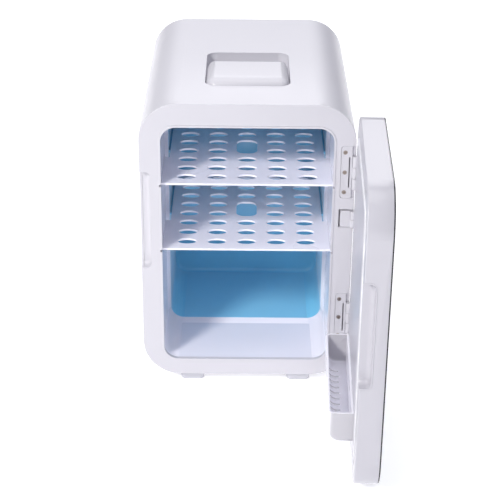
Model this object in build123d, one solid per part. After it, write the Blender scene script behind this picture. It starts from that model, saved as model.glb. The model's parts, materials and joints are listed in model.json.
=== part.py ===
from build123d import *
import os

# Mini fridge: an insulated cabinet cooled by a thermoelectric module, with a
# side-hung door, two slide-out shelves, a door bin and a flip-up carry handle.
# Millimetres. X is right, Y is back, Z is up. The origin is on the floor under
# the centre of the cabinet. The door is written here at DOOR_OPEN degrees.

# ---- driving dimensions --------------------------------------------------
WIDTH = 240.0
DEPTH = 300.0
BODY_HEIGHT = 343.0
FOOT_HEIGHT = 11.0
CORNER = 44.0
WALL = 2.6
FRONT = -DEPTH / 2
REAR = DEPTH / 2
BASE = FOOT_HEIGHT
TOP = BASE + BODY_HEIGHT
MID_Z = (BASE + TOP) / 2

FRAME_DEPTH = 4.0
BEAD_WIDTH = 2.4
BEAD_PROUD = 0.8
SCOOP_LOW = 153.5
SCOOP_HIGH = 273.0
SCOOP_REACH = 11.8
SCOOP_DEPTH = 10.0
SCOOP_R = 6.0
SCOOP_WALL = 1.8
OPENING_W = 191.6
OPENING_H = 294.0
OPENING_R = 17.0
OPENING_Z = 179.5

LINER_WALL = 2.2
LINER_DEPTH = 84.5
RAMP_DEPTH = 7.5
TUB_W = 184.0
TUB_H = 286.0
TUB_R = 16.0
TUB_BACK_R = 5.0
TUB_BACK = 216.0
TUB_WALL = 1.5

SHELF_TOPS = {"upper_shelf": 257.6, "lower_shelf": 176.2}
SHELF_THICK = 2.3
SHELF_FRONT_HALF = 97.2
SHELF_REAR_HALF = 90.0
SHELF_SETBACK = 5.0
SHELF_STEP = 78.5
SHELF_END = 212.0
GROOVE_HALF = 97.9
GROOVE_SLACK = 0.3
HOLE_HALF_X = 11.1
HOLE_HALF_Y = 6.7
HOLE_PITCH_X = 34.2
HOLE_PITCH_Y = 25.0
HOLE_FIRST_Y = 24.0
HOLE_ROWS = 8

DOOR_GAP = 2.0
DOOR_THICK = 27.0
DOOR_W = 241.5
DOOR_H = 346.5
DOOR_X = -0.75
DOOR_Z = 182.05
FREE_EDGE = DOOR_X - DOOR_W / 2
GLASS = 1.6
DOOR_OPEN = 88.2
DOOR_IN = FRONT - DOOR_GAP
DOOR_OUT = DOOR_IN - DOOR_THICK
PLUG_PROUD = 1.5
PLUG_W = 186.0
PLUG_H = 288.0
PLUG_R = 15.0

AXIS_X = 119.5
AXIS_Y = FRONT - DOOR_GAP / 2
KNUCKLE_R = 3.0
NOTCH_R = 3.6
PIN_R = 1.5
RUNNING = 0.06
HINGE_Z = {"upper": 274.5, "lower": 90.3}
LEAF_H = 62.4
LEAF_X0 = 104.0
LEAF_X1 = 116.2
LEAF_THICK = 1.8
BARREL_H = 39.4
SCREW_X = 108.2
SCREW_PITCH = 24.0
CABLE_Z0 = 207.5
CABLE_Z1 = 227.5

HANDLE_PIVOT_Y = -79.0
HANDLE_PIVOT_Z = 348.0
HANDLE_NOSE = 13.0
HANDLE_BACK = -27.0
HANDLE_HALF = 46.6
HANDLE_FLAT_HALF = 37.5
POCKET_HALF = 48.2
POCKET_FRONT = -92.5
POCKET_BACK = 20.0
POCKET_FLOOR = 333.0
POCKET_R = 12.5

BIN_HALF = 82.0
BIN_LOW = 53.0
BIN_HIGH = 90.0
BIN_REACH = 26.0
BIN_WALL = 2.0

GRIP_LOW = 145.5
GRIP_HIGH = 264.0
GRIP_BACK = 12.0
GRIP_REACH = 13.0

COOLER_Z = 200.0
FOAM_BACK = 85.0
COVER_FRONT = 145.0
COVER_THICK = 3.0


# ---- helpers -------------------------------------------------------------
def block(x0, x1, y0, y1, z0, z1):
    """Box between its limits."""
    middle = Pos((x0 + x1) / 2, (y0 + y1) / 2, (z0 + z1) / 2)
    return middle * Box(x1 - x0, y1 - y0, z1 - z0)


def plate(width, height, radius, y0, y1, x=0.0, z=MID_Z):
    """Upright plate with rounded corners, from y0 back to y1."""
    face = RectangleRounded(width, height, radius)
    return Pos(x, y1, z) * Rot(90, 0, 0) * extrude(face, y1 - y0)


def tablet(width, depth, radius, z0, z1, x=0.0, y=0.0):
    """Flat plate with rounded corners, from z0 up to z1."""
    return Pos(x, y, z0) * extrude(RectangleRounded(width, depth, radius), z1 - z0)


def rod_x(radius, x0, x1, y, z):
    return Pos((x0 + x1) / 2, y, z) * Rot(0, 90, 0) * Cylinder(radius, x1 - x0)


def rod_y(radius, y0, y1, x, z):
    return Pos(x, (y0 + y1) / 2, z) * Rot(90, 0, 0) * Cylinder(radius, y1 - y0)


def rod_z(radius, z0, z1, x, y):
    return Pos(x, y, (z0 + z1) / 2) * Cylinder(radius, z1 - z0)


def open_door(shape):
    """Turn a shape drawn with the door shut to where the door stands."""
    axis = Pos(AXIS_X, AXIS_Y, 0)
    return axis * Rot(0, 0, DOOR_OPEN) * axis.inverse() * shape


def save(name, shape):
    solids = shape.solids()
    whole = solids[0] if len(solids) == 1 else Compound(children=list(solids))
    export_step(whole, f"parts/{name}.step")


def cross_screw(radius, head, length):
    """Countersunk cross-head screw, head face at y = 0, shank towards +y."""
    sink = head - radius
    cone = Pos(0, sink / 2, 0) * Rot(-90, 0, 0) * Cone(head, radius, sink)
    shank = rod_y(radius, sink, length, 0, 0)
    drive = block(-head * 0.55, head * 0.55, -1, 0.7, -0.35, 0.35)
    return cone + shank - drive - Rot(0, 90, 0) * drive


def pan_screw(radius, head, length, head_height=1.8):
    """Pan-head screw, seat at y = 0, shank towards +y."""
    cap = rod_y(head, -head_height, 0, 0, 0)
    cap = fillet(cap.edges().sort_by(Axis.Y)[0], head_height * 0.4)
    drive = block(-head * 0.6, head * 0.6, -head_height - 1, -head_height * 0.4, -0.4, 0.4)
    return cap + rod_y(radius, 0, length, 0, 0) - drive - Rot(0, 90, 0) * drive


def upright(shape_y):
    """Turn a +y screw so that it points up."""
    return Rot(90, 0, 0) * shape_y


def countersink(radius, head, y_face, depth, x, z):
    """Cutter for a cross_screw whose head face is at y_face."""
    sink = head - radius
    cone = Pos(x, y_face + sink / 2, z) * Rot(-90, 0, 0) * Cone(head + 0.1, radius + 0.1, sink)
    return cone + rod_y(radius + 0.1, y_face - 0.01, y_face + depth, x, z)


# ---- cabinet shell -------------------------------------------------------
def screw_heights(middle):
    return [middle - SCREW_PITCH, middle, middle + SCREW_PITCH]


HINGE_SCREW_R = 1.3
HINGE_SCREW_HEAD = 2.5
HINGE_SCREW_LENGTH = 9.0
FOOT_X = 63.0
FOOT_Y = 132.5
FOOT_SCREW_R = 1.8
COVER_SCREWS = [(x, z) for x in (-104.0, 104.0) for z in (70.0, MID_Z, 294.0)]


def frame_scoop():
    """Finger scoop in the cabinet's free front edge, beside the door's own."""
    x1 = -WIDTH / 2 + SCOOP_REACH
    y1 = FRONT + SCOOP_DEPTH
    scoop = block(x1 - 30, x1, FRONT - 10, y1, SCOOP_LOW, SCOOP_HIGH)
    inner = scoop.edges().filter_by(Axis.Z).sort_by(Axis.X)[-2:].sort_by(Axis.Y)[-1]
    scoop = fillet(inner, SCOOP_R)
    ends = scoop.edges().filter_by(Axis.Y).sort_by(Axis.X)[-2:]
    return fillet(ends, SCOOP_R)


def outer_casing():
    front = FRONT + FRAME_DEPTH
    shell = plate(WIDTH, BODY_HEIGHT, CORNER, front, REAR)
    inner_w, inner_h = WIDTH - 2 * WALL, BODY_HEIGHT - 2 * WALL
    inner = plate(inner_w, inner_h, CORNER - WALL, front - 1, REAR + 1)
    rear_edge = shell.edges().group_by(Axis.Y)[-1]
    shell = fillet(rear_edge, 1.2) - inner
    ledge_w, ledge_h = WIDTH - 2 * WALL + 1, BODY_HEIGHT - 2 * WALL + 1
    ledge = plate(ledge_w, ledge_h, CORNER - WALL, COVER_FRONT - 3.2, COVER_FRONT - 0.2)
    ledge -= plate(ledge_w - 20, ledge_h - 20, CORNER - WALL - 9, COVER_FRONT - 5, COVER_FRONT)
    shell += ledge
    for x, z in COVER_SCREWS:
        shell += rod_y(5.0, COVER_FRONT - 12, COVER_FRONT - 0.2, x, z)
        x0, x1 = sorted((x, 119 if x > 0 else -119))
        shell += block(x0, x1, COVER_FRONT - 12, COVER_FRONT - 0.2, z - 2, z + 2)
        shell -= rod_y(1.5, COVER_FRONT - 13, COVER_FRONT, x, z)
    depth, middle = POCKET_BACK - POCKET_FRONT, (POCKET_FRONT + POCKET_BACK) / 2
    shell -= tablet(2 * POCKET_HALF, depth, POCKET_R, TOP - 12, TOP + 2, 0, middle)
    for x in (-FOOT_X, FOOT_X):
        for y in (-FOOT_Y, FOOT_Y):
            shell -= rod_z(FOOT_SCREW_R + 0.1, BASE - 1, BASE + 8, x, y)
    return shell - frame_scoop()


def groove(top, z_slack):
    """Cutter for one shelf's side grooves, from the frame face to the ramp."""
    z1 = top + z_slack
    z0 = top - SHELF_THICK - z_slack
    y0 = FRONT - BEAD_PROUD - 1
    return block(-GROOVE_HALF, GROOVE_HALF, y0, FRONT + LINER_DEPTH - 1.0, z0, z1)


def leaf_pocket(z0, z1, x0, y0, y1, radius=3.0):
    """Rounded pocket open at the hinge side."""
    pocket = plate(140 - x0, z1 - z0, radius, y0, y1, (x0 + 140) / 2, (z0 + z1) / 2)
    return pocket & block(x0 - 1, 119.0, y0 - 1, y1 + 1, z0 - 1, z1 + 1)


def knuckle_notch(z0, z1):
    """Clearance round a knuckle on the hinge axis."""
    reach = NOTCH_R + 0.3
    return block(AXIS_X - reach, 130, AXIS_Y - NOTCH_R, AXIS_Y + NOTCH_R, z0, z1)


CABLE_POCKET_Z0 = 206.9
CABLE_POCKET_Z1 = 229.3
CABLE_POCKET_X0 = 103.2
CABLE_GAP_X1 = 113.8
GAP_DEPTH = 8.0
LEAF_GAP = 0.25
SLOT_X0 = 112.5
SLOT_X1 = 113.8
SLOT_HALF = 18.4


def cable_gap(y0, y1):
    """Deep gap along the free side and the top of the cable cover."""
    side = block(CABLE_POCKET_X0, 105.2, y0, y1, CABLE_POCKET_Z0, CABLE_POCKET_Z1)
    over = block(CABLE_POCKET_X0, CABLE_GAP_X1, y0, y1, CABLE_Z1 - 0.2, CABLE_POCKET_Z1)
    return side + over


def leaf_slot(middle, y0, y1):
    """Upright slot between a hinge leaf's screws and its knuckles."""
    return block(SLOT_X0, SLOT_X1, y0, y1, middle - SLOT_HALF, middle + SLOT_HALF)


def front_frame():
    face = plate(WIDTH, BODY_HEIGHT, CORNER, FRONT, FRONT + FRAME_DEPTH)
    face = fillet(face.edges().group_by(Axis.Y)[0], 0.8)
    skirt_w, skirt_h = WIDTH - 2 * WALL - 0.6, BODY_HEIGHT - 2 * WALL - 0.6
    skirt = plate(skirt_w, skirt_h, CORNER - WALL - 0.3, FRONT + 3, FRONT + 12)
    skirt -= plate(skirt_w - 4, skirt_h - 4, CORNER - WALL - 2.3, FRONT, FRONT + 20)
    frame = face + skirt
    bead = plate(
        OPENING_W + 2 * BEAD_WIDTH,
        OPENING_H + 2 * BEAD_WIDTH,
        OPENING_R + BEAD_WIDTH,
        FRONT - BEAD_PROUD,
        FRONT + 1,
        0,
        OPENING_Z,
    )
    bead = fillet(bead.edges().group_by(Axis.Y)[0], 0.7)
    frame += bead
    for middle in HINGE_Z.values():
        frame += block(103, 116.8, FRONT + 3, FRONT + 11.5, middle - 33, middle + 33)
    frame += block(103, 116.8, FRONT + 3, FRONT + 11.5, 204, 233)
    cup_x0, cup_x1 = -skirt_w / 2, -WIDTH / 2 + SCOOP_REACH + SCOOP_WALL
    cup_y1 = FRONT + SCOOP_DEPTH + SCOOP_WALL
    cup_z0, cup_z1 = SCOOP_LOW - SCOOP_WALL, SCOOP_HIGH + SCOOP_WALL
    frame += block(cup_x0, cup_x1, FRONT + 3, cup_y1, cup_z0, cup_z1)
    frame -= frame_scoop()
    frame -= plate(OPENING_W, OPENING_H, OPENING_R, FRONT - 5, FRONT + 30, 0, OPENING_Z)
    for top in SHELF_TOPS.values():
        frame -= groove(top, GROOVE_SLACK)
    for middle in HINGE_Z.values():
        z0, z1 = middle - LEAF_H / 2 - LEAF_GAP, middle + LEAF_H / 2 + LEAF_GAP
        frame -= leaf_pocket(z0, z1, LEAF_X0 - 2 * LEAF_GAP, FRONT - 1, FRONT + LEAF_THICK)
        frame -= block(118.5, 121, FRONT - 1, FRONT + LEAF_THICK, z0 + 10, z1 - 10)
        frame -= leaf_slot(middle, FRONT - 1, FRONT + GAP_DEPTH)
        frame -= knuckle_notch(middle - BARREL_H / 2 - 0.5, middle + BARREL_H / 2 + 0.5)
        for z in screw_heights(middle):
            frame -= rod_y(HINGE_SCREW_R + 0.05, FRONT - 1, FRONT + 10.5, SCREW_X, z)
    z0, z1, x0 = CABLE_POCKET_Z0, CABLE_POCKET_Z1, CABLE_POCKET_X0
    frame -= leaf_pocket(z0, z1, x0, FRONT - 1, FRONT + 2.2, 1.0)
    frame -= cable_gap(FRONT - 1, FRONT + GAP_DEPTH)
    frame -= block(118.5, 121, FRONT - 1, FRONT + 2.2, CABLE_Z0, CABLE_Z1)
    frame -= knuckle_notch(CABLE_Z0 - 0.5, CABLE_Z1 + 0.5)
    frame -= rod_y(1.35, FRONT, FRONT + 8, 109, 217.5)
    return frame


def inner_liner():
    start = FRONT + FRAME_DEPTH + 0.05
    step = FRONT + LINER_DEPTH
    end = step + RAMP_DEPTH
    outer_w, outer_h = OPENING_W + 2 * LINER_WALL, OPENING_H + 2 * LINER_WALL
    tube = plate(outer_w, outer_h, OPENING_R + LINER_WALL, start, end, 0, OPENING_Z)
    flange = plate(outer_w + 8, outer_h + 14, OPENING_R + 8, start, start + 1.5, 0, OPENING_Z)
    tube += flange
    for top in SHELF_TOPS.values():
        middle = top - SHELF_THICK / 2
        tube += block(-99.6, 99.6, start, step + 2, middle - 4.5, middle + 4.5)
    tube -= plate(OPENING_W, OPENING_H, OPENING_R, start - 1, step, 0, OPENING_Z)
    near = Pos(0, step, OPENING_Z) * Rot(90, 0, 0) * RectangleRounded(OPENING_W, OPENING_H, OPENING_R)
    far = Pos(0, end, OPENING_Z) * Rot(90, 0, 0) * RectangleRounded(TUB_W, TUB_H, TUB_R)
    tube -= loft([near, far])
    for top in SHELF_TOPS.values():
        tube -= groove(top, GROOVE_SLACK)
    return tube


def tub_form(grow, back):
    """The tub's drawn shape, grown outwards by grow, open towards the door."""
    y0 = FRONT + LINER_DEPTH + RAMP_DEPTH + 0.05
    form = plate(TUB_W + 2 * grow, TUB_H + 2 * grow, TUB_R + grow, y0, back, 0, OPENING_Z)
    return fillet(form.edges().group_by(Axis.Y)[-1], TUB_BACK_R + grow)


def shelf_rest(side, top):
    """Small pressed ledge under a shelf's rear edge."""
    inner = SHELF_REAR_HALF - 1.4
    x0, x1 = sorted((side * inner, side * (TUB_W / 2 + 0.5)))
    z1 = top - SHELF_THICK - 0.2
    return block(x0, x1, -46, 44, z1 - 2.6, z1)


def cooling_tub():
    back = FRONT + TUB_BACK
    y0 = FRONT + LINER_DEPTH + RAMP_DEPTH + 0.05
    tub = tub_form(TUB_WALL, back + TUB_WALL)
    tub += plate(TUB_W + 11, TUB_H + 11, TUB_R + 5.5, y0, y0 + TUB_WALL, 0, OPENING_Z)
    inner = tub_form(0, back)
    tub -= inner
    tub -= plate(TUB_W, TUB_H, TUB_R, y0 - 1, y0 + 3, 0, OPENING_Z)
    for top in SHELF_TOPS.values():
        for side in (-1, 1):
            tub += shelf_rest(side, top)
    return tub


def foam_insulation():
    width, height = WIDTH - 2 * WALL - 5.4, BODY_HEIGHT - 2 * WALL - 5.4
    foam = plate(width, height, CORNER - WALL - 2.7, -137.5, FOAM_BACK)
    clear = 0.3
    liner_w, liner_h = OPENING_W + 2 * LINER_WALL, OPENING_H + 2 * LINER_WALL
    liner_end = FRONT + LINER_DEPTH + RAMP_DEPTH
    foam -= plate(
        liner_w + 2 * clear, liner_h + 2 * clear, OPENING_R + LINER_WALL, -160, liner_end, 0, OPENING_Z
    )
    foam -= plate(TUB_W + 12, TUB_H + 12, TUB_R + 6, liner_end - 1, liner_end + 2, 0, OPENING_Z)
    foam -= plate(
        TUB_W + 2 * TUB_WALL + 2 * clear,
        TUB_H + 2 * TUB_WALL + 2 * clear,
        TUB_R + TUB_WALL,
        liner_end,
        FRONT + TUB_BACK + TUB_WALL + clear,
        0,
        OPENING_Z,
    )
    for top in SHELF_TOPS.values():
        middle = top - SHELF_THICK / 2
        foam -= block(-100, 100, -160, FRONT + LINER_DEPTH + 3, middle - 5, middle + 5)
    for middle in HINGE_Z.values():
        foam -= block(102.5, 119, -140, -134, middle - 34, middle + 34)
    foam -= block(102.5, 119, -140, -134, 203, 234)
    pocket_y = (POCKET_FRONT + POCKET_BACK) / 2
    pocket_d = POCKET_BACK - POCKET_FRONT
    foam -= tablet(2 * POCKET_HALF + 24, pocket_d + 18, 14, POCKET_FLOOR - 2.3, TOP, 0, pocket_y)
    foam -= block(-30.3, 30.3, 60, FOAM_BACK + 1, COOLER_Z - 30.3, COOLER_Z + 30.3)
    foam -= rod_y(4, 60, 76, 55, 262)
    foam -= block(53.5, 56.5, 70, FOAM_BACK + 1, 260.5, 263.5)
    return foam


# ---- carry handle --------------------------------------------------------
HANDLE_PIN_R = 1.75


def handle_pocket():
    pocket_y = (POCKET_FRONT + POCKET_BACK) / 2
    depth = POCKET_BACK - POCKET_FRONT
    skin = TOP - WALL
    wall = 1.8
    width = 2 * POCKET_HALF
    rim = skin - 0.05
    low = POCKET_FLOOR - wall
    tray = tablet(width + 2 * wall, depth + 2 * wall, POCKET_R + wall, low, rim, 0, pocket_y)
    tray += tablet(width + 20, depth + 14, POCKET_R + 4, rim - 1.6, rim, 0, pocket_y)
    for side in (-1, 1):
        x0, x1 = sorted((side * (POCKET_HALF + 1), side * (POCKET_HALF + 7)))
        tray += rod_x(3.3, x0, x1, HANDLE_PIVOT_Y, HANDLE_PIVOT_Z)
    hollow = tablet(2 * POCKET_HALF, depth, POCKET_R, POCKET_FLOOR, skin + 1, 0, pocket_y)
    hollow = fillet(hollow.edges().group_by(Axis.Z)[0], 5.0)
    tray -= hollow
    for side in (-1, 1):
        x0, x1 = sorted((side * (POCKET_HALF - 2), side * (POCKET_HALF + 5.5)))
        tray -= rod_x(HANDLE_PIN_R, x0, x1, HANDLE_PIVOT_Y, HANDLE_PIVOT_Z)
    return tray


def handle_pins():
    pins = []
    for side in (-1, 1):
        x0, x1 = sorted((side * 40.0, side * (POCKET_HALF + 5.4)))
        pins.append(rod_x(HANDLE_PIN_R, x0, x1, HANDLE_PIVOT_Y, HANDLE_PIVOT_Z))
    return Compound(children=pins)


def handle_section():
    """Half of the handle's end-to-end outline, above the pivot axis."""
    z0, z1 = HANDLE_PIVOT_Z, HANDLE_PIVOT_Z + HANDLE_NOSE
    shoulder_x, shoulder_z = 42.9, z1 - 2.6
    left_foot, left_top = (-HANDLE_HALF, z0 + 4.8), (-HANDLE_FLAT_HALF, z1)
    right_foot, right_top = (HANDLE_HALF, z0 + 4.8), (HANDLE_FLAT_HALF, z1)
    outline = Polyline((HANDLE_HALF, z0 + 4.8), (HANDLE_HALF, z0), (-HANDLE_HALF, z0), left_foot)
    outline += ThreePointArc(left_foot, (-shoulder_x, shoulder_z), left_top)
    outline += Line(left_top, right_top)
    outline += ThreePointArc(right_top, (shoulder_x, shoulder_z), right_foot)
    plane = Plane((0, HANDLE_PIVOT_Y, 0), x_dir=(1, 0, 0), z_dir=(0, -1, 0))
    return plane * make_face(outline)


def carry_handle():
    front = HANDLE_PIVOT_Y - HANDLE_NOSE
    top = HANDLE_PIVOT_Z + HANDLE_NOSE
    low = HANDLE_PIVOT_Z + 1.0
    lip_low = HANDLE_PIVOT_Z - 3.0
    section = handle_section()
    pivot = Axis((0, HANDLE_PIVOT_Y, HANDLE_PIVOT_Z), (1, 0, 0))
    slab = extrude(section, -(HANDLE_BACK - HANDLE_PIVOT_Y)) + revolve(section, pivot, 90)
    slab -= block(-60, 60, front - 1, HANDLE_BACK + 1, lip_low, low)
    round_back = rod_x(5.0, -60, 60, HANDLE_BACK - 5, top - 5)
    slab -= block(-60, 60, HANDLE_BACK - 5, HANDLE_BACK + 1, top - 5, top + 1) - round_back
    slab += block(-HANDLE_HALF, HANDLE_HALF, HANDLE_BACK - 9, HANDLE_BACK, lip_low, low)
    depth = HANDLE_BACK - front + 30
    slab &= tablet(2 * HANDLE_HALF, depth, 11, lip_low - 1, top + 1, 0, HANDLE_BACK - depth / 2)
    for side in (-1, 1):
        x0, x1 = sorted((side * 38.0, side * HANDLE_HALF))
        slab += rod_x(4.6, x0, x1, HANDLE_PIVOT_Y, HANDLE_PIVOT_Z)
    slab -= tablet(74, 34, 5, low - 6, top - 3.5, 0, -57)
    for side in (-1, 1):
        x0, x1 = sorted((side * 39.0, side * (HANDLE_HALF + 1)))
        slab -= rod_x(HANDLE_PIN_R + RUNNING, x0, x1, HANDLE_PIVOT_Y, HANDLE_PIVOT_Z)
    return slab


# ---- shelves -------------------------------------------------------------
def shelf(top):
    z0 = top - SHELF_THICK
    y_front = FRONT + SHELF_SETBACK
    y_step = FRONT + SHELF_STEP
    y_back = FRONT + SHELF_END
    deck = tablet(
        2 * SHELF_REAR_HALF, y_back - y_front, 8, z0, top, 0, (y_front + y_back) / 2
    )
    wide = block(-SHELF_FRONT_HALF, SHELF_FRONT_HALF, y_front, y_step, z0, top)
    wide = fillet(wide.edges().filter_by(Axis.Z), 1.5)
    deck += wide
    vent = extrude(Ellipse(HOLE_HALF_X, HOLE_HALF_Y), SHELF_THICK + 2)
    columns = [-2, -1, 0, 1, 2]
    for row in range(HOLE_ROWS):
        for column in columns:
            if column == 0 and row in (3, 4):
                continue
            x = column * HOLE_PITCH_X
            y = FRONT + HOLE_FIRST_Y + row * HOLE_PITCH_Y
            deck -= Pos(x, y, z0 - 1) * vent
    finger_y = FRONT + HOLE_FIRST_Y + 3.5 * HOLE_PITCH_Y
    deck -= tablet(24.5, 40, 9, z0 - 1, top + 1, 0, finger_y)
    return deck


# ---- hinges --------------------------------------------------------------
def hinge_leaf(middle, fixed):
    """Leaf with its knuckles; fixed is the cabinet's, else the door's (shut)."""
    y0, y1 = (FRONT, FRONT + LEAF_THICK) if fixed else (DOOR_IN - LEAF_THICK, DOOR_IN)
    leaf = plate(140 - LEAF_X0, LEAF_H, 3.0, y0, y1, (LEAF_X0 + 140) / 2, middle)
    leaf = leaf & block(100, LEAF_X1, y0 - 1, y1 + 1, middle - 40, middle + 40)
    third = BARREL_H / 3
    spans = [(-third / 2 + 0.2, third / 2 - 0.2)]
    if not fixed:
        spans = [(-1.5 * third, -third / 2 - 0.2), (third / 2 + 0.2, 1.5 * third)]
    for low, high in spans:
        z0, z1 = middle + low, middle + high
        leaf += block(LEAF_X1 - 0.5, AXIS_X, y0, y1, z0, z1)
        leaf += rod_z(KNUCKLE_R, z0, z1, AXIS_X, AXIS_Y)
    leaf -= rod_z(PIN_R + RUNNING, middle - 40, middle + 40, AXIS_X, AXIS_Y)
    leaf -= leaf_slot(middle, y0 - 1, y1 + 1)
    if fixed:
        for z in screw_heights(middle):
            leaf -= countersink(HINGE_SCREW_R, HINGE_SCREW_HEAD, y0, 5, SCREW_X, z)
    else:
        for z in screw_heights(middle):
            sink = countersink(HINGE_SCREW_R, HINGE_SCREW_HEAD, 0, 5, 0, 0)
            leaf -= Pos(SCREW_X, y1, z) * Rot(0, 0, 180) * sink
    return leaf


def hinge_pin(middle):
    half = BARREL_H / 2
    return rod_z(PIN_R, middle - half, middle + half, AXIS_X, AXIS_Y)


def hinge_screws(fixed):
    screw = cross_screw(HINGE_SCREW_R, HINGE_SCREW_HEAD, HINGE_SCREW_LENGTH)
    group = []
    for middle in HINGE_Z.values():
        for z in screw_heights(middle):
            if fixed:
                group.append(Pos(SCREW_X, FRONT, z) * screw)
            else:
                group.append(Pos(SCREW_X, DOOR_IN, z) * Rot(0, 0, 180) * screw)
    return Compound(children=group)


def cable_cover(fixed):
    """Cover of the door cable, with a hollow knuckle on the hinge axis."""
    y0, y1 = (FRONT, FRONT + 2.0) if fixed else (DOOR_IN - 2.0, DOOR_IN)
    middle = (CABLE_Z0 + CABLE_Z1) / 2
    tab = plate(140 - 105, CABLE_Z1 - CABLE_Z0, 4.0, y0, y1, (105 + 140) / 2, middle)
    tab = tab & block(100, LEAF_X1, y0 - 1, y1 + 1, CABLE_Z0 - 1, CABLE_Z1 + 1)
    z0, z1 = (CABLE_Z0, middle - 0.2) if fixed else (middle + 0.2, CABLE_Z1)
    tab += block(LEAF_X1 - 0.5, AXIS_X, y0, y1, z0, z1)
    tab += rod_z(KNUCKLE_R, z0, z1, AXIS_X, AXIS_Y)
    tab -= rod_z(1.6, z0 - 1, z1 + 1, AXIS_X, AXIS_Y)
    if fixed:
        peg = rod_y(1.3, FRONT + 1, FRONT + 7, 109, middle)
    else:
        peg = rod_y(1.3, DOOR_IN - 7, DOOR_IN - 1, 109, middle)
    return tab + peg


# ---- door (drawn shut) ---------------------------------------------------
RIM_THICK = 2.4


def grip_cutter(grow):
    """Rounded scoop in the door's free edge, open towards the cabinet."""
    height = GRIP_HIGH - GRIP_LOW + 2 * grow
    middle = (GRIP_HIGH + GRIP_LOW) / 2
    x0 = FREE_EDGE - 10
    x1 = FREE_EDGE + GRIP_REACH + grow
    y0 = DOOR_IN - GRIP_BACK - grow
    y1 = DOOR_IN + 10
    scoop = block(x0, x1, y0, y1, middle - height / 2, middle + height / 2)
    inner = scoop.edges().filter_by(Axis.Z).sort_by(Axis.X)[-2:].sort_by(Axis.Y)[0]
    scoop = fillet(inner, 6 + grow)
    ends = scoop.edges().filter_by(Axis.Y).sort_by(Axis.X)[-2:]
    return fillet(ends, 6 + grow) if len(ends) == 2 else scoop


def door_shell():
    back = DOOR_OUT + GLASS
    shell = plate(DOOR_W, DOOR_H, CORNER, back, DOOR_IN, DOOR_X, DOOR_Z)
    shell = fillet(shell.edges().group_by(Axis.Y)[-1], 1.5)
    inner_w, inner_h = DOOR_W - 2 * WALL, DOOR_H - 2 * WALL
    inner_y = DOOR_IN - RIM_THICK
    shell -= plate(inner_w, inner_h, CORNER - WALL, back - 1, inner_y, DOOR_X, DOOR_Z)
    window_w, window_h = PLUG_W + 17, PLUG_H + 17
    for middle in HINGE_Z.values():
        shell += block(102, 118.5, DOOR_IN - 11.5, DOOR_IN - 2, middle - 33, middle + 33)
    shell += block(102, 118.5, DOOR_IN - 11.5, DOOR_IN - 2, 204, 233)
    shell -= plate(window_w, window_h, PLUG_R + 8.5, DOOR_IN - 20, DOOR_IN + 1, 0, OPENING_Z)
    grip_x0, grip_x1 = FREE_EDGE + 1, FREE_EDGE + GRIP_REACH + 3
    grip_y = DOOR_IN - GRIP_BACK - 3
    shell += block(grip_x0, grip_x1, grip_y, DOOR_IN - 1, GRIP_LOW - 3, GRIP_HIGH + 3)
    shell -= grip_cutter(1.6)
    for middle in HINGE_Z.values():
        z0, z1 = middle - LEAF_H / 2 - LEAF_GAP, middle + LEAF_H / 2 + LEAF_GAP
        shell -= leaf_pocket(z0, z1, LEAF_X0 - 2 * LEAF_GAP, DOOR_IN - LEAF_THICK, DOOR_IN + 1)
        shell -= block(118.5, 121, DOOR_IN - LEAF_THICK, DOOR_IN + 1, z0 + 10, z1 - 10)
        shell -= leaf_slot(middle, DOOR_IN - GAP_DEPTH, DOOR_IN + 1)
        shell -= knuckle_notch(middle - BARREL_H / 2 - 0.5, middle + BARREL_H / 2 + 0.5)
        for z in screw_heights(middle):
            shell -= rod_y(HINGE_SCREW_R + 0.05, DOOR_IN - 10.5, DOOR_IN + 1, SCREW_X, z)
    z0, z1, x0 = CABLE_POCKET_Z0, CABLE_POCKET_Z1, CABLE_POCKET_X0
    shell -= leaf_pocket(z0, z1, x0, DOOR_IN - 2.2, DOOR_IN + 1, 1.0)
    shell -= cable_gap(DOOR_IN - GAP_DEPTH, DOOR_IN + 1)
    shell -= block(118.5, 121, DOOR_IN - 2.2, DOOR_IN + 1, CABLE_Z0, CABLE_Z1)
    shell -= knuckle_notch(CABLE_Z0 - 0.5, CABLE_Z1 + 0.5)
    shell -= rod_y(1.35, DOOR_IN - 8, DOOR_IN, 109, 217.5)
    return shell


def finger_grip():
    outer = grip_cutter(1.5)
    inner = grip_cutter(0)
    keep = block(FREE_EDGE, 0, DOOR_IN - 30, DOOR_IN, GRIP_LOW - 5, GRIP_HIGH + 5)
    return (outer - inner) & keep


def mirror_panel():
    y1 = DOOR_OUT + GLASS - 0.05
    pane = plate(DOOR_W - 0.4, DOOR_H - 0.4, CORNER - 0.2, DOOR_OUT, y1, DOOR_X, DOOR_Z)
    return fillet(pane.edges().group_by(Axis.Y)[0], 0.5)


def door_inner_panel():
    y_flange = DOOR_IN - 5.6
    flange = plate(PLUG_W + 16, PLUG_H + 16, PLUG_R + 8, y_flange, y_flange + 1.8, 0, OPENING_Z)
    face = DOOR_IN + PLUG_PROUD
    plug = plate(PLUG_W, PLUG_H, PLUG_R, y_flange, face, 0, OPENING_Z)
    plug = fillet(plug.edges().group_by(Axis.Y)[-1], 1.2)
    panel = flange + plug
    panel -= plate(PLUG_W - 5, PLUG_H - 5, PLUG_R - 2.5, y_flange - 1, face - 2.2, 0, OPENING_Z)
    for x in BIN_TAB_X:
        panel -= bin_tab(x, 0.25)
    return panel


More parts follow.
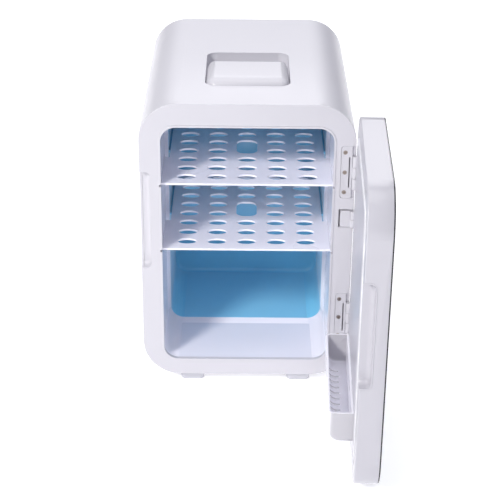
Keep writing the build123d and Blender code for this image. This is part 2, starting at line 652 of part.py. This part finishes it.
def door_gasket():
    y0 = DOOR_IN - 3.75
    outer = plate(PLUG_W + 16, PLUG_H + 16, PLUG_R + 8, y0, DOOR_IN + 0.8, 0, OPENING_Z)
    outer = fillet(outer.edges().group_by(Axis.Y)[-1], 1.0)
    inner = plate(PLUG_W + 1, PLUG_H + 1, PLUG_R + 0.5, y0 - 1, DOOR_IN + 3, 0, OPENING_Z)
    groove_cut = plate(PLUG_W + 11, PLUG_H + 11, PLUG_R + 5.5, DOOR_IN - 0.4, DOOR_IN + 3, 0, OPENING_Z)
    groove_cut -= plate(PLUG_W + 8, PLUG_H + 8, PLUG_R + 4, DOOR_IN - 2, DOOR_IN + 4, 0, OPENING_Z)
    return outer - inner - groove_cut


def door_foam():
    y0 = DOOR_OUT + GLASS + 6.0
    foam = plate(PLUG_W - 6, PLUG_H - 6, PLUG_R - 3, y0, DOOR_IN + PLUG_PROUD - 2.5, 0, OPENING_Z)
    for x in BIN_TAB_X:
        foam -= bin_tab(x, 1.0)
    return foam


def light_strip():
    y0 = DOOR_OUT + GLASS + 0.1
    ring = plate(196, 300, 30, y0, y0 + 2.2, DOOR_X, DOOR_Z)
    return ring - plate(184, 288, 24, y0 - 1, y0 + 4, DOOR_X, DOOR_Z)


def door_board():
    y0 = DOOR_OUT + GLASS + 0.3
    board = block(-30, 30, y0, y0 + 1.6, 40, 62)
    board += block(-8, 8, y0 + 1.5, y0 + 4.4, 45, 57)
    board += block(16, 26, y0 + 1.5, y0 + 5.2, 44, 50)
    return board


BIN_TAB_X = [-50.0, 50.0]


def bin_tab(x, grow):
    y = DOOR_IN + PLUG_PROUD
    z0 = BIN_HIGH - 12
    return block(x - 7 - grow, x + 7 + grow, y - 3.6 - grow, y + 0.5, z0 - grow, z0 + 5 + grow)


BIN_ROLL = 12.5
BIN_EDGE = 6.0
BIN_SLITS = 11
BIN_SLIT_PITCH = 11.4
BIN_SLIT_HALF = 1.5


def bin_form(inset, z_top, y_back):
    """The bin's shape, inset on its ends, front and floor."""
    half = BIN_HALF - inset
    y_front = DOOR_IN + PLUG_PROUD + BIN_REACH - inset
    z_low = BIN_LOW + inset
    form = block(-half, half, y_back, y_front, z_low, z_top)
    long_edge = form.edges().filter_by(Axis.X).group_by(Axis.Z)[0].sort_by(Axis.Y)[-1]
    form = fillet(long_edge, BIN_ROLL - inset)
    ends = form.faces().filter_by(Axis.X).edges()
    rim = ends.filter_by(lambda e: e.center().Z < z_top - 0.1 and e.center().Y > y_back + 0.1)
    return fillet(rim, BIN_EDGE - inset)


def door_bin():
    back = DOOR_IN + PLUG_PROUD + 0.02
    front = DOOR_IN + PLUG_PROUD + BIN_REACH
    outer = bin_form(0, BIN_HIGH, back)
    inner = bin_form(BIN_WALL, BIN_HIGH + 2, back + BIN_WALL)
    tray = outer - inner
    for i in range(BIN_SLITS):
        x = (i - (BIN_SLITS - 1) / 2) * BIN_SLIT_PITCH
        x0, x1 = x - BIN_SLIT_HALF, x + BIN_SLIT_HALF
        tray -= block(x0, x1, front - 15, front + 1, BIN_LOW - 1, BIN_LOW + 8)
    for x in BIN_TAB_X:
        tray += block(x - 7, x + 7, back - 3.4, back + 1, BIN_HIGH - 12, BIN_HIGH - 7)
    return tray


# ---- cooling system ------------------------------------------------------
FIN_COUNT = 15
FIN_PITCH = 7.4
SINK_W = 112.0
SINK_H = 104.0
SINK_FRONT = FOAM_BACK + 0.3
SINK_BASE = 6.0
FIN_END = SINK_FRONT + SINK_BASE + 22.0
FAN_SIZE = 92.0
FAN_FRONT = FIN_END + 1.0
FAN_DEPTH = 20.0
FAN_HOLE = 41.25
CLAMP = 24.0


def cold_block():
    block_back = FOAM_BACK - 3.5
    y0 = FRONT + TUB_BACK + TUB_WALL + 0.05
    piece = block(-30, 30, y0, block_back, COOLER_Z - 30, COOLER_Z + 30)
    for x in (-CLAMP, CLAMP):
        for z in (-CLAMP, CLAMP):
            piece -= rod_y(1.55, y0 + 2, block_back + 1, x, COOLER_Z + z)
    return piece


def peltier_module():
    y0 = FOAM_BACK - 3.45
    y1 = SINK_FRONT - 0.05
    plates = block(-20, 20, y0, y0 + 0.9, COOLER_Z - 20, COOLER_Z + 20)
    plates += block(-20, 20, y1 - 0.9, y1, COOLER_Z - 20, COOLER_Z + 20)
    plates += block(-18.5, 18.5, y0 + 0.5, y1 - 0.5, COOLER_Z - 18.5, COOLER_Z + 18.5)
    return plates


def heat_sink():
    y1 = SINK_FRONT + SINK_BASE
    z0, z1 = COOLER_Z - SINK_H / 2, COOLER_Z + SINK_H / 2
    sink = block(-SINK_W / 2, SINK_W / 2, SINK_FRONT, y1, z0, z1)
    for i in range(FIN_COUNT):
        x = (i - (FIN_COUNT - 1) / 2) * FIN_PITCH
        sink += block(x - 0.7, x + 0.7, y1 - 0.5, FIN_END, z0, z1)
    for x in (-CLAMP, CLAMP):
        for z in (-CLAMP, CLAMP):
            sink -= rod_y(1.8, SINK_FRONT - 1, y1 + 1, x, COOLER_Z + z)
            sink -= rod_y(3.6, y1, FIN_END + 1, x, COOLER_Z + z)
    for x in (-FAN_HOLE, FAN_HOLE):
        for z in (-FAN_HOLE, FAN_HOLE):
            sink -= rod_y(2.0, y1 + 6, FIN_END + 1, x, COOLER_Z + z)
    return sink


def square_group(shape, half):
    places = [(x, z) for x in (-half, half) for z in (-half, half)]
    return Compound(children=[Pos(x, 0, COOLER_Z + z) * shape for x, z in places])


def heat_sink_screws():
    seat = SINK_FRONT + SINK_BASE
    screw = Pos(0, seat, 0) * Rot(0, 0, 180) * pan_screw(1.5, 3.0, seat - 72.0)
    return square_group(screw, CLAMP)


def fan_screws():
    seat = FAN_FRONT + FAN_DEPTH
    screw = Pos(0, seat, 0) * Rot(0, 0, 180) * pan_screw(1.8, 3.4, FAN_DEPTH + 12)
    return square_group(screw, FAN_HOLE)


def fan_frame():
    y0, y1 = FAN_FRONT, FAN_FRONT + FAN_DEPTH
    frame = plate(FAN_SIZE, FAN_SIZE, 5, y0, y1, 0, COOLER_Z)
    frame -= rod_y(43.5, y0 - 1, y1 + 1, 0, COOLER_Z)
    frame += rod_y(17, y0, y0 + 2.5, 0, COOLER_Z)
    for i in range(4):
        spoke = block(14, 44.5, y0, y0 + 2.5, -1.8, 1.8)
        frame += Pos(0, 0, COOLER_Z) * Rot(0, 45 + 90 * i, 0) * spoke
    frame += rod_y(2.5, y0 + 2, y1 - 6, 0, COOLER_Z)
    for x in (-FAN_HOLE, FAN_HOLE):
        for z in (-FAN_HOLE, FAN_HOLE):
            frame -= rod_y(2.1, y0 - 1, y1 + 1, x, COOLER_Z + z)
    return frame


def fan_rotor():
    y0, y1 = FAN_FRONT + 3.2, FAN_FRONT + FAN_DEPTH - 1.0
    rotor = rod_y(16, y0, y1, 0, 0)
    rotor = fillet(rotor.edges().sort_by(Axis.Y)[-1], 1.5)
    for i in range(7):
        blade = Pos(28.5, (y0 + y1) / 2, 0) * Rot(42, 0, 0) * Box(28, 1.6, 17)
        blade = blade & rod_y(42.3, y0 + 0.6, y1 - 0.6, 0, 0)
        rotor += Rot(0, 360 / 7 * i, 0) * blade
    rotor -= rod_y(2.5 + RUNNING, y0 - 1, FAN_FRONT + FAN_DEPTH - 5.5, 0, 0)
    return Pos(0, 0, COOLER_Z) * rotor


def temperature_sensor():
    y0 = FRONT + TUB_BACK + TUB_WALL + 0.05
    bead = rod_y(3.0, y0, y0 + 5, 55, 262)
    return fillet(bead.edges().sort_by(Axis.Y)[-1], 1.5)


BOARD_Y = FOAM_BACK + 6.0
BOARD_HOLES = [(-78.0, 52.0), (78.0, 52.0), (-78.0, 108.0), (78.0, 108.0)]


def power_board():
    y0, y1 = BOARD_Y, BOARD_Y + 1.6
    board = block(-84, 84, y0, y1, 46, 114)
    board += block(-60, -24, y1 - 0.1, y1 + 26, 60, 96)
    for x, r in ((-8, 8), (12, 6.3), (28, 6.3)):
        board += rod_y(r, y1 - 0.1, y1 + 22, x, 74)
    board += block(42, 66, y1 - 0.1, y1 + 4, 64, 68)
    board += block(42, 45, y1 - 0.1, y1 + 24, 64, 104)
    board += block(50, 64, y1 - 0.1, y1 + 9, 84, 96)
    for x, z in BOARD_HOLES:
        board -= rod_y(2.0, y0 - 1, y1 + 1, x, z)
    return board


def board_posts():
    """Pillars that clip the board to the foam block's back face."""
    posts = []
    for x, z in BOARD_HOLES:
        post = rod_y(4.0, FOAM_BACK + 0.05, BOARD_Y - 0.05, x, z)
        post += rod_y(1.8, BOARD_Y - 1, BOARD_Y + 2.4, x, z)
        posts.append(post + rod_y(2.6, BOARD_Y + 1.7, BOARD_Y + 3.2, x, z))
    return Compound(children=posts)


# ---- rear cover and its fittings -----------------------------------------
COVER_BACK = COVER_FRONT + COVER_THICK
PORT_Z = 46.0
AC_X = 62.0
DC_X = 20.0
SWITCH_X = -52.0


def slot_row(xs, z0, z1, half):
    cut = None
    for x in xs:
        piece = plate(2 * half, z1 - z0, half - 0.01, COVER_FRONT - 1, COVER_BACK + 1, x, (z0 + z1) / 2)
        cut = piece if cut is None else cut + piece
    return cut


def rear_cover():
    clear = 0.3
    cover = plate(
        WIDTH - 2 * WALL - 2 * clear, BODY_HEIGHT - 2 * WALL - 2 * clear, CORNER - WALL - clear,
        COVER_FRONT, COVER_BACK,
    )
    cover = fillet(cover.edges().group_by(Axis.Y)[-1], 0.6)
    for i in range(-6, 7):
        z = COOLER_Z + i * 6.6
        half = (42.0**2 - (i * 6.6) ** 2) ** 0.5
        cover -= plate(2 * half, 3.4, 1.69, COVER_FRONT - 1, COVER_BACK + 1, 0, z)
    cover += block(-1.5, 1.5, COVER_FRONT, COVER_BACK, COOLER_Z - 44, COOLER_Z + 44)
    vents = [(i - 9.5) * 8.4 for i in range(20)]
    cover -= slot_row(vents, 84, 118, 1.7)
    cover -= slot_row(vents, 282, 316, 1.7)
    for x, z in COVER_SCREWS:
        cover -= rod_y(1.9, COVER_FRONT - 1, COVER_BACK + 1, x, z)
    cover -= plate(27.6, 16.6, 3.0, COVER_FRONT - 1, COVER_BACK + 1, AC_X, PORT_Z)
    cover -= rod_y(7.2, COVER_FRONT - 1, COVER_BACK + 1, DC_X, PORT_Z)
    cover -= plate(24.4, 18.4, 1.5, COVER_FRONT - 1, COVER_BACK + 1, SWITCH_X, PORT_Z)
    return cover


def rear_screws():
    screw = Pos(0, COVER_BACK, 0) * Rot(0, 0, 180) * pan_screw(1.4, 3.0, COVER_THICK + 8.5, 1.7)
    return Compound(children=[Pos(x, 0, z) * screw for x, z in COVER_SCREWS])


def ac_inlet():
    flange = plate(31, 20, 4, COVER_BACK + 0.02, COVER_BACK + 1.8, AC_X, PORT_Z)
    body = plate(27, 16, 2.8, COVER_FRONT - 14, COVER_BACK + 0.5, AC_X, PORT_Z)
    inlet = flange + body
    well = plate(18, 9.4, 4.69, COVER_FRONT - 11, COVER_BACK + 3, AC_X, PORT_Z)
    inlet -= well
    for x in (-4.3, 4.3):
        inlet += rod_y(1.2, COVER_FRONT - 12, COVER_BACK - 3, AC_X + x, PORT_Z)
    return inlet


def dc_inlet():
    flange = rod_y(9, COVER_BACK + 0.02, COVER_BACK + 1.8, DC_X, PORT_Z)
    flange = fillet(flange.edges().sort_by(Axis.Y)[-1], 0.6)
    inlet = flange + rod_y(7.0, COVER_FRONT - 12, COVER_BACK + 0.5, DC_X, PORT_Z)
    inlet -= rod_y(4.6, COVER_FRONT - 9, COVER_BACK + 3, DC_X, PORT_Z)
    inlet += rod_y(1.0, COVER_FRONT - 10, COVER_BACK - 1, DC_X, PORT_Z)
    return inlet


ROCKER_PIVOT_Y = COVER_BACK - 3.0


def switch_housing():
    flange = plate(28, 22, 2.5, COVER_BACK + 0.02, COVER_BACK + 1.8, SWITCH_X, PORT_Z)
    flange = fillet(flange.edges().group_by(Axis.Y)[-1], 0.6)
    body = plate(24, 18, 1.3, COVER_FRONT - 14, COVER_BACK + 0.5, SWITCH_X, PORT_Z)
    housing = flange + body
    housing -= block(
        SWITCH_X - 9.5, SWITCH_X + 9.5, COVER_FRONT - 10, COVER_BACK + 3, PORT_Z - 7.4, PORT_Z + 7.4
    )
    housing -= rod_x(1.2, SWITCH_X - 11, SWITCH_X + 11, ROCKER_PIVOT_Y, PORT_Z)
    return housing


def mode_rocker():
    """Three-way rocker that turns about an upright-plane X axis."""
    y = ROCKER_PIVOT_Y
    z = PORT_Z
    x0, x1 = SWITCH_X - 9.2, SWITCH_X + 9.2
    key = block(x0, x1, y - 3, y + 5.2, z - 6.4, z + 6.4)
    dish = rod_x(16.0, x0 - 1, x1 + 1, y + 5.2 + 14.6, z)
    key -= dish
    key += rod_x(1.12, SWITCH_X - 10.9, SWITCH_X + 10.9, y, z)
    return key


# ---- feet ----------------------------------------------------------------
def foot(x, y):
    low = Pos(x, y, 0) * RectangleRounded(26.5, 22, 5)
    high = Pos(x, y, FOOT_HEIGHT - 0.05) * RectangleRounded(30.5, 26, 5.5)
    body = loft([low, high])
    body = fillet(body.edges().group_by(Axis.Z)[0], 1.2)
    body -= rod_z(4.0, -1, 5, x, y)
    body -= rod_z(FOOT_SCREW_R + 0.15, 0, FOOT_HEIGHT + 1, x, y)
    return body


def foot_screws():
    screws = []
    for x in (-FOOT_X, FOOT_X):
        for y in (-FOOT_Y, FOOT_Y):
            screw = Pos(x, y, 5.0) * upright(pan_screw(FOOT_SCREW_R, 3.6, 9.5, 2.2))
            screws.append(screw)
    return Compound(children=screws)


# ---- write every sub-part ------------------------------------------------
os.makedirs("parts", exist_ok=True)

cabinet = {
    "outer_casing": outer_casing(),
    "front_frame": front_frame(),
    "inner_liner": inner_liner(),
    "cooling_tub": cooling_tub(),
    "foam_insulation": foam_insulation(),
    "handle_pocket": handle_pocket(),
    "handle_pins": handle_pins(),
    "carry_handle": carry_handle(),
    "cold_block": cold_block(),
    "peltier_module": peltier_module(),
    "heat_sink": heat_sink(),
    "heat_sink_screws": heat_sink_screws(),
    "fan_frame": fan_frame(),
    "fan_rotor": fan_rotor(),
    "fan_screws": fan_screws(),
    "temperature_sensor": temperature_sensor(),
    "power_board": power_board(),
    "board_posts": board_posts(),
    "rear_cover": rear_cover(),
    "rear_screws": rear_screws(),
    "ac_inlet": ac_inlet(),
    "dc_inlet": dc_inlet(),
    "switch_housing": switch_housing(),
    "mode_rocker": mode_rocker(),
    "foot_screws": foot_screws(),
    "hinge_screws_body": hinge_screws(True),
    "cable_cover_body": cable_cover(True),
}
for side, x in (("left", -FOOT_X), ("right", FOOT_X)):
    for end, y in (("front", -FOOT_Y), ("rear", FOOT_Y)):
        cabinet[f"foot_{end}_{side}"] = foot(x, y)
for name, top in SHELF_TOPS.items():
    cabinet[name] = shelf(top)
for level, middle in HINGE_Z.items():
    cabinet[f"hinge_leaf_body_{level}"] = hinge_leaf(middle, True)
    cabinet[f"hinge_pin_{level}"] = hinge_pin(middle)

door = {
    "door_shell": door_shell(),
    "finger_grip": finger_grip(),
    "mirror_panel": mirror_panel(),
    "door_inner_panel": door_inner_panel(),
    "door_gasket": door_gasket(),
    "door_foam": door_foam(),
    "light_strip": light_strip(),
    "door_board": door_board(),
    "door_bin": door_bin(),
    "hinge_screws_door": hinge_screws(False),
    "cable_cover_door": cable_cover(False),
}
for level, middle in HINGE_Z.items():
    door[f"hinge_leaf_door_{level}"] = hinge_leaf(middle, False)

for name, shape in cabinet.items():
    save(name, shape)
for name, shape in door.items():
    save(name, open_door(shape))
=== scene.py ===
import json
from math import cos, radians, sin

import bpy
from mathutils import Matrix, Vector

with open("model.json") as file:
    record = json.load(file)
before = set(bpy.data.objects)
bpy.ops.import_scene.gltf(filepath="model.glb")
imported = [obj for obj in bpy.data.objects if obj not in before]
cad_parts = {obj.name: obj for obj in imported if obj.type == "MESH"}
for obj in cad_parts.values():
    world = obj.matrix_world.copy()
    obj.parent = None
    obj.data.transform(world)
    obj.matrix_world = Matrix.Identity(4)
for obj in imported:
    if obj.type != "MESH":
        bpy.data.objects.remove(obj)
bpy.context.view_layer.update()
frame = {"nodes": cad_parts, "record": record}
nodes = frame["nodes"]
MM = 0.001


# ---- node materials ------------------------------------------------------
class Shader:
    """A Principled material with helpers for procedural colour, roughness and bump."""

    def __init__(self, name, color, roughness, **sockets):
        self.material = bpy.data.materials.new(name)
        self.material.use_nodes = True
        self.tree = self.material.node_tree
        self.shader = self.tree.nodes["Principled BSDF"]
        self.coords = self.tree.nodes.new("ShaderNodeTexCoord")
        self.shader.inputs["Base Color"].default_value = (*color, 1)
        self.shader.inputs["Roughness"].default_value = roughness
        for key, value in sockets.items():
            self.shader.inputs[key.replace("_", " ")].default_value = value

    def mapping(self, stretch=(1, 1, 1)):
        node = self.tree.nodes.new("ShaderNodeMapping")
        node.inputs["Scale"].default_value = stretch
        self.tree.links.new(self.coords.outputs["Object"], node.inputs["Vector"])
        return node.outputs["Vector"]

    def noise(self, scale, detail=4.0, stretch=(1, 1, 1)):
        node = self.tree.nodes.new("ShaderNodeTexNoise")
        node.inputs["Scale"].default_value = scale
        node.inputs["Detail"].default_value = detail
        self.tree.links.new(self.mapping(stretch), node.inputs["Vector"])
        return node.outputs["Fac"]

    def normal(self, axis):
        """One component of the surface normal in the object's own axes."""
        node = self.tree.nodes.new("ShaderNodeSeparateXYZ")
        self.tree.links.new(self.coords.outputs["Normal"], node.inputs["Vector"])
        return node.outputs[axis]

    def ranged(self, value, low, high, start=0.3, end=0.7):
        node = self.tree.nodes.new("ShaderNodeMapRange")
        node.inputs["From Min"].default_value = start
        node.inputs["From Max"].default_value = end
        node.inputs["To Min"].default_value = low
        node.inputs["To Max"].default_value = high
        self.tree.links.new(value, node.inputs["Value"])
        return node.outputs["Result"]

    def mixed(self, factor, first, second):
        node = self.tree.nodes.new("ShaderNodeMix")
        node.data_type = "RGBA"
        self.tree.links.new(factor, node.inputs["Factor"])
        for socket, value in (("A", first), ("B", second)):
            slot = [i for i in node.inputs if i.name == socket and i.type == "RGBA"][0]
            if isinstance(value, tuple):
                slot.default_value = (*value, 1)
            else:
                self.tree.links.new(value, slot)
        return [o for o in node.outputs if o.type == "RGBA"][0]

    def color(self, output):
        self.tree.links.new(output, self.shader.inputs["Base Color"])
        return self

    def roughness(self, output):
        self.tree.links.new(output, self.shader.inputs["Roughness"])
        return self

    def bump(self, *layers):
        """layers are (height output, strength, distance in metres)."""
        previous = None
        for height, strength, distance in layers:
            node = self.tree.nodes.new("ShaderNodeBump")
            node.inputs["Strength"].default_value = strength
            node.inputs["Distance"].default_value = distance
            self.tree.links.new(height, node.inputs["Height"])
            if previous is not None:
                self.tree.links.new(previous, node.inputs["Normal"])
            previous = node.outputs["Normal"]
        self.tree.links.new(previous, self.shader.inputs["Normal"])
        return self


def shade(color, factor):
    return tuple(min(1.0, c * factor) for c in color)


def moulded_plastic(name, color, roughness, coat=0.3, peel=0.02, painted_shade_end_color=None):
    """Gloss moulded plastic: faint orange peel, and slow changes of tone and gloss.

    The end colour, if given, is the base colour of the faces that look along -Y: painted shade
    that makes those faces darker."""
    s = Shader(name, color, roughness, IOR=1.50, Coat_Weight=coat, Coat_Roughness=0.08)
    tone = s.mixed(s.ranged(s.noise(9, 1), 0, 1, 0, 1), shade(color, 0.985), shade(color, 1.01))
    # painted shade: faces that look along -Y take the darker end colour
    if painted_shade_end_color:
        tone = s.mixed(s.ranged(s.normal("Y"), 1, 0, -0.9, -0.4), tone, painted_shade_end_color)
    s.color(tone)
    s.roughness(s.ranged(s.noise(12, 1), roughness - 0.03, roughness + 0.04, 0, 1))
    s.bump((s.noise(120, 1), peel, 0.0004))
    return s.material


def painted_metal(name, color, roughness):
    """Coloured drawn sheet with a soft sheen under a clear gloss."""
    gloss = {"Coat_Weight": 0.4, "Coat_Roughness": 0.08}
    sheen = {"Sheen_Weight": 0.45, "Sheen_Roughness": 0.5}
    s = Shader(name, color, roughness, IOR=1.6, **gloss, **sheen)
    s.color(s.mixed(s.ranged(s.noise(5, 1), 0, 1, 0, 1), shade(color, 0.98), shade(color, 1.01)))
    s.roughness(s.ranged(s.noise(8, 1), roughness - 0.03, roughness + 0.03, 0, 1))
    s.bump((s.noise(12, 0), 0.02, 0.0006))
    return s.material


def plain_metal(name, color, roughness, stretch=(1, 1, 1)):
    """Bare metal; stretch draws the fine marks out along one axis."""
    s = Shader(name, color, roughness, Metallic=1.0)
    lines = s.noise(160, 3, stretch)
    s.color(s.mixed(s.ranged(lines, 0, 1), shade(color, 0.92), shade(color, 1.05)))
    s.roughness(s.ranged(lines, roughness - 0.06, roughness + 0.08))
    s.bump((lines, 0.05, 0.0001))
    return s.material


def dark_plastic(name, color, roughness):
    """Grained matt material: plastic, rubber, ceramic or board."""
    s = Shader(name, color, roughness, IOR=1.48)
    s.color(s.mixed(s.ranged(s.noise(60, 3), 0, 1), shade(color, 0.88), shade(color, 1.15)))
    s.roughness(s.ranged(s.noise(80, 3), roughness - 0.06, roughness + 0.08))
    s.bump((s.noise(300, 2), 0.08, 0.0002))
    return s.material


def cell_foam(name, color):
    """Rigid foam with small closed cells."""
    s = Shader(name, color, 0.9)
    cells = s.tree.nodes.new("ShaderNodeTexVoronoi")
    cells.inputs["Scale"].default_value = 380
    s.tree.links.new(s.mapping(), cells.inputs["Vector"])
    s.color(s.mixed(cells.outputs["Distance"], shade(color, 1.04), shade(color, 0.86)))
    s.roughness(s.ranged(s.noise(60), 0.82, 0.95))
    s.bump((cells.outputs["Distance"], 0.6, 0.0004))
    return s.material


def mirror_pane(name, face, edge):
    """Silvered glass: a mirror on its two faces, which look along X, with dark edges."""
    s = Shader(name, face, 0.06)
    facing = s.tree.nodes.new("ShaderNodeMath")
    facing.operation = "ABSOLUTE"
    s.tree.links.new(s.normal("X"), facing.inputs[0])
    on_face = s.ranged(facing.outputs["Value"], 0, 1, 0.9, 0.99)
    cloud = s.mixed(s.ranged(s.noise(6, 1), 0, 1, 0, 1), shade(face, 0.98), shade(face, 1.01))
    s.color(s.mixed(on_face, edge, cloud))
    s.roughness(s.ranged(s.noise(10, 1), 0.04, 0.08, 0, 1))
    s.bump((s.noise(4, 0), 0.01, 0.0004))
    s.tree.links.new(on_face, s.shader.inputs["Metallic"])
    return s.material


WHITE = (0.60, 0.59, 0.64)
INNER = (0.87, 0.865, 0.955)
# painted shade: a darker copy of the shell white, for the door's parts
DOOR_PAINTED_SHADE = (0.50, 0.49, 0.54)
BIN = (0.90, 0.89, 0.96)
# painted shade: a darker copy of the bin white, for the bin's faces that look along -Y
BIN_END_PAINTED_SHADE = (0.51, 0.50, 0.54)

materials = {
    "shell_white": moulded_plastic("shell_white", WHITE, 0.36, 0.15),
    "liner_white": moulded_plastic("liner_white", INNER, 0.24, 0.35),
    "shelf_white": moulded_plastic("shelf_white", INNER, 0.28),
    # the bin's faces that look along -Y get painted shade
    "bin_white": moulded_plastic("bin_white", BIN, 0.3, painted_shade_end_color=BIN_END_PAINTED_SHADE),
    # painted shade: the door's white, darker than the shell white
    "door_white_painted_shade": moulded_plastic("door_white_painted_shade", DOOR_PAINTED_SHADE, 0.32),
    "foot_white": moulded_plastic("foot_white", (0.55, 0.55, 0.60), 0.5, 0.0),
    "tub_blue": painted_metal("tub_blue", (0.21, 0.62, 0.89), 0.3),
    "foam": cell_foam("foam", (0.86, 0.85, 0.80)),
    "steel": plain_metal("steel", (0.60, 0.61, 0.63), 0.30, (1, 1, 0.1)),
    "screw_dark": plain_metal("screw_dark", (0.36, 0.31, 0.28), 0.35),
    "aluminium": plain_metal("aluminium", (0.76, 0.77, 0.79), 0.36, (1, 1, 0.05)),
    "module_ceramic": dark_plastic("module_ceramic", (0.80, 0.79, 0.76), 0.6),
    "black_plastic": dark_plastic("black_plastic", (0.022, 0.022, 0.025), 0.45),
    "board_green": dark_plastic("board_green", (0.02, 0.16, 0.07), 0.35),
    "gasket_white": dark_plastic("gasket_white", (0.70, 0.70, 0.74), 0.6),
    "mirror_glass": mirror_pane("mirror_glass", (0.46, 0.48, 0.52), (0.03, 0.03, 0.035)),
    "light_yellow": moulded_plastic("light_yellow", (0.86, 0.82, 0.62), 0.5),
}

# ---- CAD nodes: finish and softened edges --------------------------------
slot_of = {s["node"]: s["material_slot"] for s in frame["record"]["subparts"]}
# the door's parts take the darker door white, which is painted shade
OWN_SLOT = {
    "door_bin": "bin_white",
    "door_shell": "door_white_painted_shade",
    "door_inner_panel": "door_white_painted_shade",
    "finger_grip": "door_white_painted_shade",
}
EDGE_MM = 0.2
EDGE_MM_OF = {"upper_shelf": 0.25, "lower_shelf": 0.25, "door_bin": 0.25}
NOT_SOFTENED = ("outer_casing",)
WELD_REACH = 0.000004
SHARP_ANGLE = 35


def soften(obj, width):
    """Weld the tessellated faces, then round every sharp edge a little."""
    weld = obj.modifiers.new("weld", "WELD")
    weld.merge_threshold = WELD_REACH
    bevel = obj.modifiers.new("edge", "BEVEL")
    bevel.width = width * MM
    bevel.segments = 2
    bevel.limit_method = "ANGLE"
    bevel.angle_limit = radians(SHARP_ANGLE)
    bevel.harden_normals = True
    bevel.use_clamp_overlap = True


for name, obj in nodes.items():
    obj.data.materials.clear()
    obj.data.materials.append(materials[OWN_SLOT.get(name, slot_of[name])])
    if name not in NOT_SOFTENED:
        soften(obj, EDGE_MM_OF.get(name, EDGE_MM))


# ---- camera --------------------------------------------------------------
CAMERA_AT = (-0.0029, -1.5892, 0.9102)
CAMERA_TURN = (0.28, 26.99, -0.59)
LENS = 102.06
SENSOR = 36


def front_camera():
    """Camera in front and above; CAMERA_TURN is yaw, pitch and roll in degrees."""
    yaw, pitch, roll = (radians(angle) for angle in CAMERA_TURN)
    level_right = Vector((cos(yaw), -sin(yaw), 0))
    level_ahead = Vector((sin(yaw), cos(yaw), 0))
    ahead = level_ahead * cos(pitch) - Vector((0, 0, 1)) * sin(pitch)
    down = ahead.cross(level_right)
    right = level_right * cos(roll) + down * sin(roll)
    below = -level_right * sin(roll) + down * cos(roll)
    data = bpy.data.cameras.new("camera")
    data.lens = LENS
    data.sensor_width = SENSOR
    data.clip_start, data.clip_end = 0.05, 30
    camera = bpy.data.objects.new("camera", data)
    turn = Matrix((right, -below, -ahead)).transposed()
    camera.matrix_world = Matrix.Translation(CAMERA_AT) @ turn.to_4x4()
    bpy.context.scene.collection.objects.link(camera)
    bpy.context.scene.camera = camera


front_camera()


# ---- floor, light --------------------------------------------------------
FLOOR_REACH = 20.0
FLOOR_LEVEL = -0.0002
FLOOR_GLOW = 0.42


def floor():
    mesh = bpy.data.meshes.new("floor")
    signs = [(-1, -1), (1, -1), (1, 1), (-1, 1)]
    corners = [(x * FLOOR_REACH, y * FLOOR_REACH, FLOOR_LEVEL) for x, y in signs]
    mesh.from_pydata(corners, [], [(0, 1, 2, 3)])
    obj = bpy.data.objects.new("floor", mesh)
    s = Shader("floor", (0.92, 0.92, 0.93), 0.9)
    s.roughness(s.ranged(s.noise(3), 0.85, 0.95))
    s.shader.inputs["Emission Color"].default_value = (1, 1, 1, 1)
    s.shader.inputs["Emission Strength"].default_value = FLOOR_GLOW
    mesh.materials.append(s.material)
    bpy.context.scene.collection.objects.link(obj)


TARGET = Vector((0, -0.1, 0.2))
LIGHT_REACH = 4.5


def area_light(name, azimuth, height, size, power, color=(1, 1, 1)):
    """Square lamp aimed at the object; azimuth 0 is in front, positive to the right."""
    turn, rise = radians(azimuth), radians(height)
    way = Vector((sin(turn) * cos(rise), -cos(turn) * cos(rise), sin(rise)))
    data = bpy.data.lights.new(name, "AREA")
    data.shape = "SQUARE"
    data.size = size
    data.energy = power
    data.color = color
    obj = bpy.data.objects.new(name, data)
    obj.location = TARGET + way * LIGHT_REACH
    obj.rotation_mode = "QUATERNION"
    obj.rotation_quaternion = (-way).to_track_quat("-Z", "Y")
    bpy.context.scene.collection.objects.link(obj)


def studio():
    world = bpy.data.worlds.new("studio")
    bpy.context.scene.world = world
    world.use_nodes = True
    background = world.node_tree.nodes["Background"]
    background.inputs["Color"].default_value = (0.84, 0.86, 1.0, 1)
    background.inputs["Strength"].default_value = 0.16
    area_light("key", -36, 36, 0.8, 136, (1.0, 0.985, 0.95))
    area_light("front", 0, 15, 3.0, 5, (0.70, 0.80, 1.0))
    area_light("fill", 0, 45, 3.0, 18, (0.84, 0.88, 1.0))
    area_light("left", -105, 45, 3.0, 26, (0.95, 0.96, 1.0))
    area_light("right", 105, 45, 3.0, 44, (0.95, 0.96, 1.0))
    area_light("top", 0, 88, 3.0, 62)
    area_light("back", 180, 40, 3.0, 70, (0.98, 0.98, 1.0))
    bpy.context.scene.view_settings.view_transform = "Standard"


floor()
studio()
